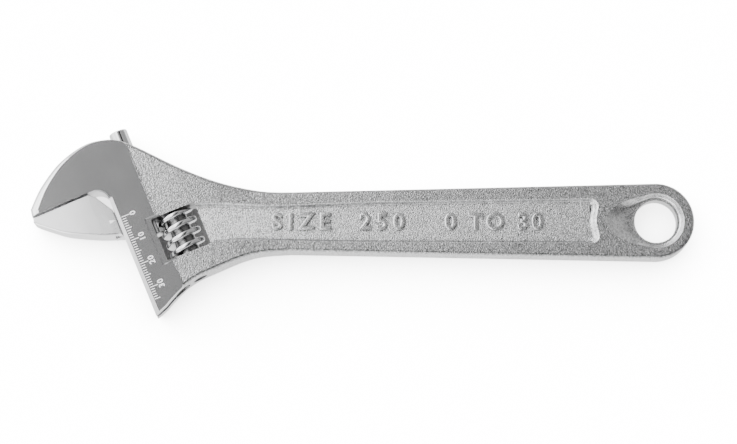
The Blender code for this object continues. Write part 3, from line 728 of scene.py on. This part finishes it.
def column(name, radius, foot, top, edge=0.0, segments=96):
    """A turned bar about z, with broken edges where edge is given."""
    outline = [(0.0, foot), (radius - edge, foot)]
    outline += [(radius, foot + edge)] if edge else []
    outline += [(radius, top - edge)] if edge else []
    outline += [(radius - edge, top), (0.0, top)]
    return turned(name, outline, segments)


half_worm = WORM_LENGTH / 2
worm = column("worm_screw", ROOT_RADIUS, -half_worm - 1 * MM, half_worm + 1 * MM)
worm.data.materials.append(shaded_worm_root)
for tool, finish, operation in (
        (column("bore", PIN_RADIUS + SLIDE_GAP, -2 * half_worm, 2 * half_worm), worm_ends, "DIFFERENCE"),
        (column("counterbore", PIN_RADIUS + 3 * SLIDE_GAP + 2 * SPRING_WIRE, -2 * half_worm,
                -WINDOW_HALF_H + SPRING_LENGTH + 3 * SLIDE_GAP), worm_ends, "DIFFERENCE"),
        (thread, worm_steel, "UNION"),
        (column("facing", WORM_RADIUS + 0.4 * MM, -half_worm, half_worm, 1.1 * MM), worm_ends, "INTERSECT")):
    tool.data.materials.append(finish)
    cut(worm, tool, operation)
SLIDE_AXIS = HEAD_FRAME @ Matrix.Rotation(-pi / 2, 4, "X") @ Matrix.Rotation(-pi / 2, 4, "Z")
worm.data.transform(SLIDE_AXIS)
finish_shading(worm, 50)
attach(worm, "worm")
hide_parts("worm")

# ---------------------------------------------------------------------------------------
# Worm pin: a turned steel pin screwed in from the head's foot until its plain end sits
# in the blind hole above the window. A screwdriver slot is cut across its foot.
# ---------------------------------------------------------------------------------------
PIN_FOOT_H = -18.3 * MM
PIN_TOP_H = WINDOW_HALF_H + 5.5 * MM
pin_steel = plated("pin_steel", 0.42, 0.3, 0.4, 0.1)

shoulder_h = -WINDOW_HALF_H - SLIDE_GAP
PIN_CHAMFER = 0.4 * MM
PIN_THREAD_DEPTH = 0.22 * MM
pin_outline = [(0.0, PIN_FOOT_H), (PIN_SCREW_RADIUS - PIN_CHAMFER, PIN_FOOT_H),
               (PIN_SCREW_RADIUS, PIN_FOOT_H + PIN_CHAMFER)]
pin_outline += [(PIN_SCREW_RADIUS - (PIN_THREAD_DEPTH if step % 2 else 0.0),
                 PIN_FOOT_H + (0.8 + 0.4 * step) * MM) for step in range(20)]
pin_outline += [(PIN_SCREW_RADIUS, shoulder_h), (PIN_RADIUS, shoulder_h),
                (PIN_RADIUS, PIN_TOP_H - PIN_CHAMFER), (PIN_RADIUS - PIN_CHAMFER, PIN_TOP_H), (0.0, PIN_TOP_H)]
pin = turned("worm_pin_turned", pin_outline, 64)
pin.data.materials.append(pin_steel)
slot_width = 0.9 * MM
slot_depth = 1.1 * MM
slot = loft("pin_slot", [[(x * slot_width / 2, y * 4 * PIN_RADIUS, PIN_FOOT_H + z * slot_depth)
                          for x, y in ((1, 1), (-1, 1), (-1, -1), (1, -1))] for z in (-1, 1)])
slot.data.materials.append(pin_steel)
cut(pin, slot)
pin.data.transform(SLIDE_AXIS)
finish_shading(pin)
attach(pin, "body")
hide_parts("worm_pin")

# ---------------------------------------------------------------------------------------
# Spring: a short coil of drawn wire round the pin, hidden in the worm's counterbore,
# which holds the worm against the window's upper end.
# ---------------------------------------------------------------------------------------
SPRING_TURNS = 5.0
spring_wire = plated("spring_wire", 0.35, 0.35, 0.5, 0.1)


def coil_tree():
    """Geometry nodes: a helix swept by a round wire, capped and given its material."""
    tree = bpy.data.node_groups.new("coil_of_wire", "GeometryNodeTree")
    for name in ("Turns", "Coil Radius", "Rise", "Wire Radius"):
        tree.interface.new_socket(name, in_out="INPUT", socket_type="NodeSocketFloat")
    tree.interface.new_socket("Wire Finish", in_out="INPUT", socket_type="NodeSocketMaterial")
    tree.interface.new_socket("Coil", in_out="OUTPUT", socket_type="NodeSocketGeometry")
    nodes, links = tree.nodes, tree.links
    given, result = nodes.new("NodeGroupInput"), nodes.new("NodeGroupOutput")
    helix = nodes.new("GeometryNodeCurveSpiral")
    helix.inputs["Resolution"].default_value = 32
    wire = nodes.new("GeometryNodeCurvePrimitiveCircle")
    wire.inputs["Resolution"].default_value = 14
    sweep = nodes.new("GeometryNodeCurveToMesh")
    sweep.inputs["Fill Caps"].default_value = True
    real = nodes.new("GeometryNodeRealizeInstances")
    dress = nodes.new("GeometryNodeSetMaterial")
    links.new(given.outputs["Turns"], helix.inputs["Rotations"])
    links.new(given.outputs["Coil Radius"], helix.inputs["Start Radius"])
    links.new(given.outputs["Coil Radius"], helix.inputs["End Radius"])
    links.new(given.outputs["Rise"], helix.inputs["Height"])
    links.new(given.outputs["Wire Radius"], wire.inputs["Radius"])
    links.new(helix.outputs["Curve"], sweep.inputs["Curve"])
    links.new(wire.outputs["Curve"], sweep.inputs["Profile Curve"])
    links.new(sweep.outputs["Mesh"], real.inputs["Geometry"])
    links.new(real.outputs["Geometry"], dress.inputs["Geometry"])
    links.new(given.outputs["Wire Finish"], dress.inputs["Material"])
    links.new(dress.outputs["Geometry"], result.inputs["Coil"])
    return tree


def grow(name, tree, values):
    """A plain mesh made by a node tree whose inputs are given by name."""
    piece = mesh_object(name, bmesh.new())
    modifier = piece.modifiers.new("growth", "NODES")
    modifier.node_group = tree
    for item in tree.interface.items_tree:
        if item.item_type == "SOCKET" and item.in_out == "INPUT" and item.name in values:
            modifier[item.identifier] = values[item.name]
    bake_modifiers(piece)
    return piece


def weld_and_face_out(piece):
    bm = bmesh.new()
    bm.from_mesh(piece.data)
    bmesh.ops.remove_doubles(bm, verts=bm.verts, dist=1e-7)
    bmesh.ops.recalc_face_normals(bm, faces=bm.faces)
    bm.to_mesh(piece.data)
    bm.free()


coil = grow("spring_coil", coil_tree(),
            {"Turns": SPRING_TURNS, "Coil Radius": PIN_RADIUS + SLIDE_GAP + SPRING_WIRE,
             "Rise": SPRING_LENGTH - 2 * SPRING_WIRE, "Wire Radius": SPRING_WIRE, "Wire Finish": spring_wire})
weld_and_face_out(coil)
coil.data.transform(SLIDE_AXIS @ Matrix.Translation((0, 0, -WINDOW_HALF_H + SLIDE_GAP + SPRING_WIRE)))
coil.data.shade_smooth()
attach(coil, "body")
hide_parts("spring")

# ---------------------------------------------------------------------------------------
# Jaw scale: millimetre divisions and numerals etched by laser along the front edge of
# the head's upper face. They read the opening against the mark on the movable jaw.
# ---------------------------------------------------------------------------------------
SCALE_ZERO_H = 13.9 * MM
SCALE_START_N = FRONT_N + FRONT_CHAMFER
DIVISIONS = 35
ETCH_PROUD = 0.02 * MM
ETCH_DEPTH = 0.25 * MM

etched = plated("etched_marks_painted_glow", 0.95, 0.55, 0.2, 0.1, painted_shade=0.0)
etched_shader = etched.node_tree.nodes["Principled BSDF"]
# The marks glow: a faint painted emission keeps them white against the dark chrome.
etched_shader.inputs["Metallic"].default_value = 0.0
etched_shader.inputs["Emission Color"].default_value = (1.0, 1.0, 1.0, 1.0)
etched_shader.inputs["Emission Strength"].default_value = 1.1


def divisions_tree():
    """Geometry nodes: a row of ticks, each fifth and tenth one longer, on a base line."""
    tree = bpy.data.node_groups.new("scale_divisions", "GeometryNodeTree")
    sockets = [("Count", "NodeSocketInt"), ("Division", "NodeSocketFloat"), ("Stroke", "NodeSocketFloat"),
               ("Depth", "NodeSocketFloat"), ("Short", "NodeSocketFloat"), ("Fifth", "NodeSocketFloat"),
               ("Tenth", "NodeSocketFloat"), ("Mark Finish", "NodeSocketMaterial")]
    for name, kind in sockets:
        tree.interface.new_socket(name, in_out="INPUT", socket_type=kind)
    tree.interface.new_socket("Ticks", in_out="OUTPUT", socket_type="NodeSocketGeometry")
    nodes, links = tree.nodes, tree.links
    given, result = nodes.new("NodeGroupInput"), nodes.new("NodeGroupOutput")

    def math(operation, first, second):
        node = nodes.new("ShaderNodeMath")
        node.operation = operation
        for socket, value in zip(node.inputs, (first, second)):
            if isinstance(value, (int, float)):
                socket.default_value = value
            else:
                links.new(value, socket)
        return node.outputs[0]

    step = nodes.new("ShaderNodeCombineXYZ")
    links.new(math("MULTIPLY", given.outputs["Division"], -1.0), step.inputs["Y"])
    row = nodes.new("GeometryNodeMeshLine")
    links.new(given.outputs["Count"], row.inputs["Count"])
    links.new(step.outputs[0], row.inputs["Offset"])
    index = nodes.new("GeometryNodeInputIndex").outputs[0]
    on_fifth = math("LESS_THAN", math("MODULO", index, 5.0), 0.5)
    on_tenth = math("LESS_THAN", math("MODULO", index, 10.0), 0.5)
    longer = math("MULTIPLY", math("SUBTRACT", given.outputs["Fifth"], given.outputs["Short"]), on_fifth)
    longest = math("MULTIPLY", math("SUBTRACT", given.outputs["Tenth"], given.outputs["Fifth"]), on_tenth)
    length = math("ADD", math("ADD", longer, longest), given.outputs["Short"])
    size = nodes.new("ShaderNodeCombineXYZ")
    links.new(length, size.inputs["X"])
    links.new(given.outputs["Stroke"], size.inputs["Y"])
    links.new(given.outputs["Depth"], size.inputs["Z"])
    block = nodes.new("GeometryNodeMeshCube")
    block.inputs["Size"].default_value = (1.0, 1.0, 1.0)
    lift = nodes.new("GeometryNodeTransform")
    lift.inputs["Translation"].default_value = (0.5, 0.0, -0.5)
    links.new(block.outputs["Mesh"], lift.inputs["Geometry"])
    place = nodes.new("GeometryNodeInstanceOnPoints")
    links.new(row.outputs["Mesh"], place.inputs["Points"])
    links.new(lift.outputs["Geometry"], place.inputs["Instance"])
    links.new(size.outputs[0], place.inputs["Scale"])
    real = nodes.new("GeometryNodeRealizeInstances")
    links.new(place.outputs["Instances"], real.inputs["Geometry"])
    dress = nodes.new("GeometryNodeSetMaterial")
    links.new(real.outputs["Geometry"], dress.inputs["Geometry"])
    links.new(given.outputs["Mark Finish"], dress.inputs["Material"])
    links.new(dress.outputs["Geometry"], result.inputs["Ticks"])
    return tree


ticks = grow("scale_ticks", divisions_tree(),
             {"Count": DIVISIONS + 1, "Division": 1.0 * MM, "Stroke": 0.28 * MM, "Depth": ETCH_DEPTH,
              "Short": 1.6 * MM, "Fifth": 2.3 * MM, "Tenth": 3.3 * MM, "Mark Finish": etched})
ticks.data.transform(HEAD_FRAME @ Matrix.Translation((SCALE_START_N, SCALE_ZERO_H, half + ETCH_PROUD)))
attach(ticks, "body")


def lettering(name, words, height, depth, place, finish, spacing=1.0, bevel=0.0, weight=0.0):
    """Text as a solid of the given depth, its top face at the place's own z."""
    font = bpy.data.curves.new(name, "FONT")
    font.body = words
    font.size = height / 0.729
    font.space_character = spacing
    font.align_x = "CENTER"
    font.align_y = "CENTER"
    font.extrude = depth / 2
    font.offset = weight
    font.bevel_depth = bevel
    font.bevel_resolution = 2
    font.resolution_u = 4
    source = bpy.data.objects.new(name, font)
    bpy.context.scene.collection.objects.link(source)
    bpy.context.view_layer.update()
    mesh = bpy.data.meshes.new_from_object(source.evaluated_get(bpy.context.evaluated_depsgraph_get()))
    bpy.data.objects.remove(source, do_unlink=True)
    mesh.materials.clear()
    mesh.materials.append(finish)
    mesh.transform(place @ Matrix.Translation((0, 0, -depth / 2 - bevel)))
    piece = bpy.data.objects.new(name, mesh)
    bpy.context.scene.collection.objects.link(piece)
    weld_and_face_out(piece)
    return piece


for value in range(0, 40, 10):
    spot = Matrix.Translation((SCALE_START_N + 4.7 * MM, SCALE_ZERO_H - value * MM, half + ETCH_PROUD))
    numeral = lettering(f"numeral_{value}", str(value), 2.3 * MM, ETCH_DEPTH,
                        HEAD_FRAME @ spot @ Matrix.Rotation(pi / 2, 4, "Z"), etched, 1.15, 0.0, 0.05 * MM)
    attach(numeral, "body")

pointer_tip = HEAD_INVERSE @ Vector((-96.8 * MM, 0.0, MID_Z))
pointer = loft("jaw_pointer", [[(pointer_tip.x + n * MM, pointer_tip.y + h * MM, z) for n, h in
                                ((0.0, 0.0), (-2.2, 0.75), (-2.2, -0.75))]
                               for z in (JAW_HALF + ETCH_PROUD, JAW_HALF - ETCH_DEPTH)])
pointer.data.transform(HEAD_FRAME)
pointer.data.materials.append(etched)
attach(pointer, "movable_jaw")

# ---------------------------------------------------------------------------------------
# Size mark: raised numerals left by the forging die on the channel's floor, giving the
# nominal length and the opening in millimetres.
# ---------------------------------------------------------------------------------------
MARK_HEIGHT = 6.4 * MM
MARK_RISE = 1.0 * MM
MARK_DEPTH = 1.2 * MM
MARK_BEVEL = 0.32 * MM
MARK_WEIGHT = 0.08 * MM
raised = plated("raised_marks", 0.82, 0.22, 0.5, 0.4, sparkle=0.4, painted_shade=0.5)
for name, words, x, spacing in (("size_mark", "SIZE  250", -9.5, 1.5),
                                ("opening_mark", "0 TO 30", 51.5, 1.3)):
    spot = Matrix.Translation((x * MM, -0.4 * MM, MID_Z + FLOOR_HALF + MARK_RISE))
    mark = lettering(name, words, MARK_HEIGHT, MARK_DEPTH, spot, raised, spacing, MARK_BEVEL, MARK_WEIGHT)
    finish_shading(mark)
    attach(mark, "body")

# ---------------------------------------------------------------------------------------
# Studio: a glowing white table, a large soft light to the upper left and a surround that is
# bright to the left, dim overhead and dark on the near side. The camera looks almost straight
# down, so the flat faces mirror the dim part and the rounded edges the bright one.
# ---------------------------------------------------------------------------------------
def glowing_table():
    """White to the camera, with a painted soft shadow on the side away from the light and a painted shadow
    under the worm.
    """
    table = bpy.data.materials.new("white_table")
    table.use_nodes = True
    nodes, links = table.node_tree.nodes, table.node_tree.links
    surface = nodes["Principled BSDF"]
    surface.inputs["Base Color"].default_value = (0.3, 0.3, 0.3, 1.0)
    surface.inputs["Roughness"].default_value = 0.9
    surface.inputs["Emission Color"].default_value = (1.0, 1.0, 1.0, 1.0)
    lean = nodes.new("ShaderNodeCombineXYZ")
    for socket, value in zip(lean.inputs, (-0.30, 0.50, 0.80)):
        socket.default_value = value
    # Painted shadow: the table's glow drops where it is hemmed in towards the light.
    open_sky = nodes.new("ShaderNodeAmbientOcclusion")
    open_sky.inputs["Distance"].default_value = 0.05
    open_sky.samples = 16
    links.new(lean.outputs[0], open_sky.inputs["Normal"])
    shadow = nodes.new("ShaderNodeMapRange")
    shadow.inputs["From Min"].default_value = 0.25
    shadow.inputs["From Max"].default_value = 0.87
    shadow.inputs["To Min"].default_value = 3.0
    shadow.inputs["To Max"].default_value = 15.5
    links.new(open_sky.outputs["AO"], shadow.inputs["Value"])
    # Painted shadow: the glow is cut almost to nothing under the worm.
    spot = nodes.new("ShaderNodeNewGeometry")
    from_worm = nodes.new("ShaderNodeVectorMath")
    from_worm.operation = "DISTANCE"
    from_worm.inputs[1].default_value = (worm_centre.x, worm_centre.y, body_low.z)
    links.new(spot.outputs["Position"], from_worm.inputs[0])
    painted_worm_shadow = nodes.new("ShaderNodeMapRange")
    painted_worm_shadow.inputs["From Min"].default_value = 15.0 * MM
    painted_worm_shadow.inputs["From Max"].default_value = 17.0 * MM
    painted_worm_shadow.inputs["To Min"].default_value = 0.006
    links.new(from_worm.outputs["Value"], painted_worm_shadow.inputs["Value"])
    level = nodes.new("ShaderNodeMath")
    level.operation = "MULTIPLY"
    links.new(shadow.outputs["Result"], level.inputs[0])
    links.new(painted_worm_shadow.outputs["Result"], level.inputs[1])
    seen = nodes.new("ShaderNodeLightPath")
    glow = nodes.new("ShaderNodeMix")
    glow.data_type = "FLOAT"
    glow.inputs["A"].default_value = 1.5
    links.new(seen.outputs["Is Camera Ray"], glow.inputs["Factor"])
    links.new(level.outputs[0], glow.inputs["B"])
    links.new(glow.outputs["Result"], surface.inputs["Emission Strength"])
    return table


bpy.ops.mesh.primitive_plane_add(size=60.0, location=(0, 0, body_low.z - 0.02 * MM))
floor_plane = bpy.context.object
floor_plane.name = "studio_floor"
floor_plane.data.materials.append(glowing_table())

world = bpy.data.worlds.new("studio")
bpy.context.scene.world = world
world.use_nodes = True
nodes, links = world.node_tree.nodes, world.node_tree.links
direction = nodes.new("ShaderNodeTexCoord")
parts = nodes.new("ShaderNodeSeparateXYZ")
links.new(direction.outputs["Generated"], parts.inputs[0])


def level_ramp(axis, stops):
    """Brightness of the surround against one component of the direction, -1 to 1."""
    share = nodes.new("ShaderNodeMapRange")
    share.inputs["From Min"].default_value = -1.0
    links.new(parts.outputs[axis], share.inputs["Value"])
    ramp = nodes.new("ShaderNodeValToRGB")
    ramp.color_ramp.interpolation = "EASE"
    elements = ramp.color_ramp.elements
    elements.remove(elements[1])
    elements[0].position = (stops[0][0] + 1) / 2
    elements[0].color = (stops[0][1],) * 3 + (1.0,)
    for position, level in stops[1:]:
        elements.new((position + 1) / 2).color = (level,) * 3 + (1.0,)
    links.new(share.outputs["Result"], ramp.inputs["Fac"])
    return ramp.outputs["Color"]


def worked_out(operation, *values):
    node = nodes.new("ShaderNodeMath")
    node.operation = operation
    for socket, value in zip(node.inputs, values):
        links.new(value, socket)
    return node.outputs[0]


overhead = level_ramp("X", ((-0.75, 2.0), (-0.42, 4.8), (-0.28, 3.8), (-0.17, 0.5), (-0.10, 0.18),
                            (-0.05, 0.6),
                            (-0.02, 0.8), (0.03, 0.36), (0.08, 0.12), (0.13, 0.03), (0.3, 0.02), (0.42, 0.7),
                            (0.7, 0.4)))
from_left = level_ramp("X", ((-1.0, 4.5), (-0.5, 3.5), (-0.1, 0.3), (0.1, 0.12), (0.6, 0.25), (1.0, 0.3)))
from_far = level_ramp("Y", ((-0.9, 0.9), (-0.6, 0.7), (-0.42, 0.03), (-0.2, 0.03), (0.3, 0.15), (1.0, 0.4)))
around = worked_out("ADD", from_left, from_far)
near_dark = level_ramp("Y", ((-0.6, 1.0), (-0.45, 0.05), (-0.35, 0.05), (-0.06, 1.0)))
height = nodes.new("ShaderNodeMix")
links.new(level_ramp("Z", ((0.55, 0.0), (0.85, 1.0))), height.inputs["Factor"])
links.new(around, height.inputs["A"])
links.new(overhead, height.inputs["B"])
shaded = worked_out("MULTIPLY", height.outputs["Result"], near_dark)
links.new(shaded, nodes["Background"].inputs["Color"])

key = bpy.data.lights.new("key_light", "AREA")
key.size = 0.35
key.energy = 1.5
key_object = bpy.data.objects.new("key_light", key)
bpy.context.scene.collection.objects.link(key_object)
key_object.location = (-0.45, 0.42, 0.75)
key_object.rotation_euler = (-key_object.location).to_track_quat("-Z", "Y").to_euler()

camera = bpy.data.cameras.new("camera")
camera.sensor_width = 36.0
camera.lens = 127.0
camera.clip_start = 0.05
camera_object = bpy.data.objects.new("camera", camera)
bpy.context.scene.collection.objects.link(camera_object)
camera_object.location = (0.0023, -0.1684, 1.016)
camera_object.rotation_euler = (radians(9.5), 0.0, 0.0)
bpy.context.scene.camera = camera_object
